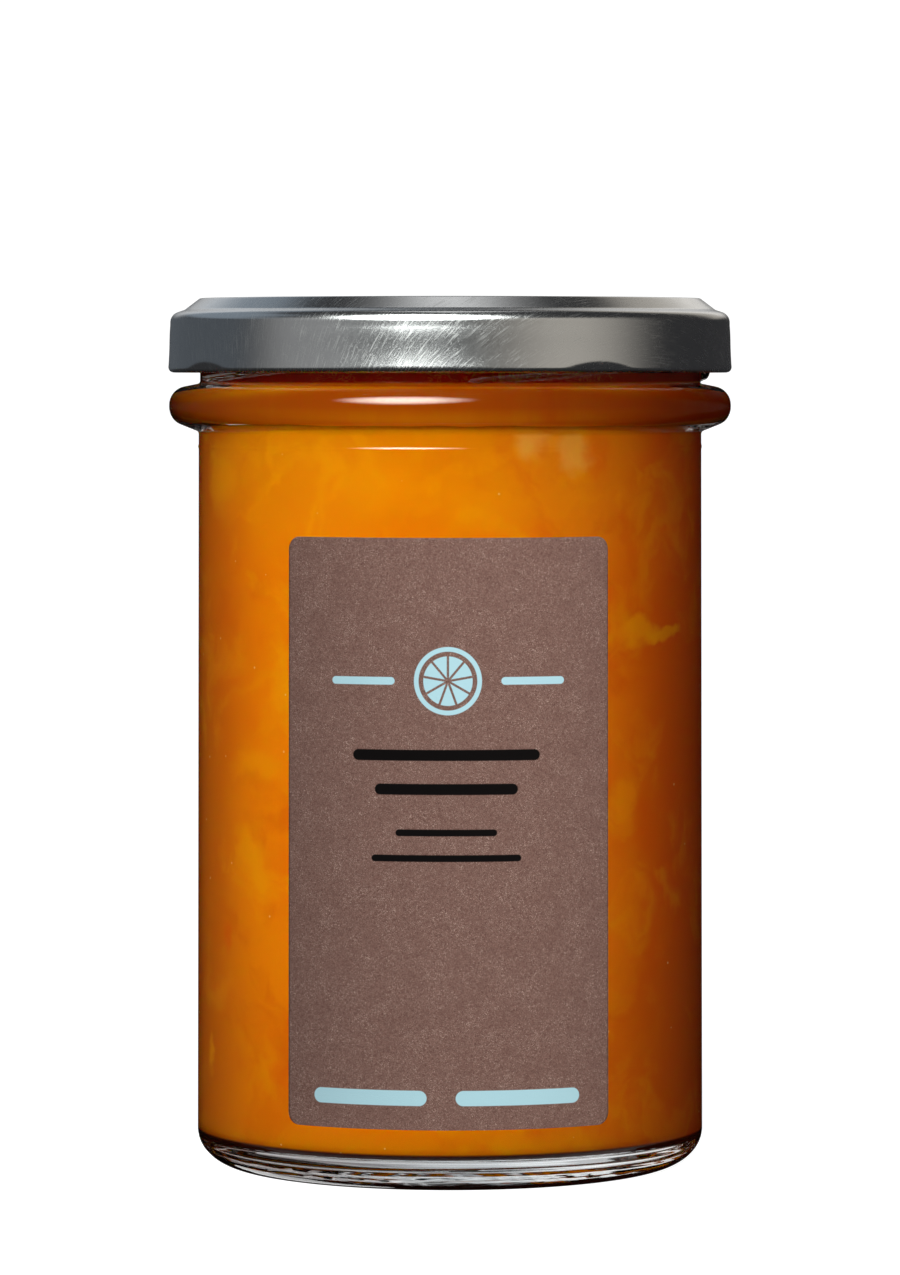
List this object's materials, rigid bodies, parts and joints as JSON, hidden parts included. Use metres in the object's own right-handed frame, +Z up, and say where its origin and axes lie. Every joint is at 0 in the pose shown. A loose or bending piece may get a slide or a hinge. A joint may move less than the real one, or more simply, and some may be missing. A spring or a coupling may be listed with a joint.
{
  "type": "marmalade jar",
  "caption": "Straight-sided glass jar of orange marmalade with a rounded bead under the neck, a pressed metal twist-off lid and a front paper label.",
  "frame": {"origin": "centre of the base on the surface that the jar stands on", "axes": "+Z up along the jar's axis; the label faces -Y; +X is to the right as the label is read"},
  "size_m": [0.0684, 0.0684, 0.1055],
  "materials": {
    "glass": "clear, smooth, uncoloured glass",
    "marmalade": "set orange jelly with soft pulp and peel",
    "lid": "bare silver tinplate with a fine brushed grain",
    "label": "brown paper with a fine pearly grain, matt"
  },
  "bodies": {
    "root": {"glass_jar": "glass", "marmalade": "marmalade", "lid": "lid", "label": "label"}
  },
  "joints": []
}
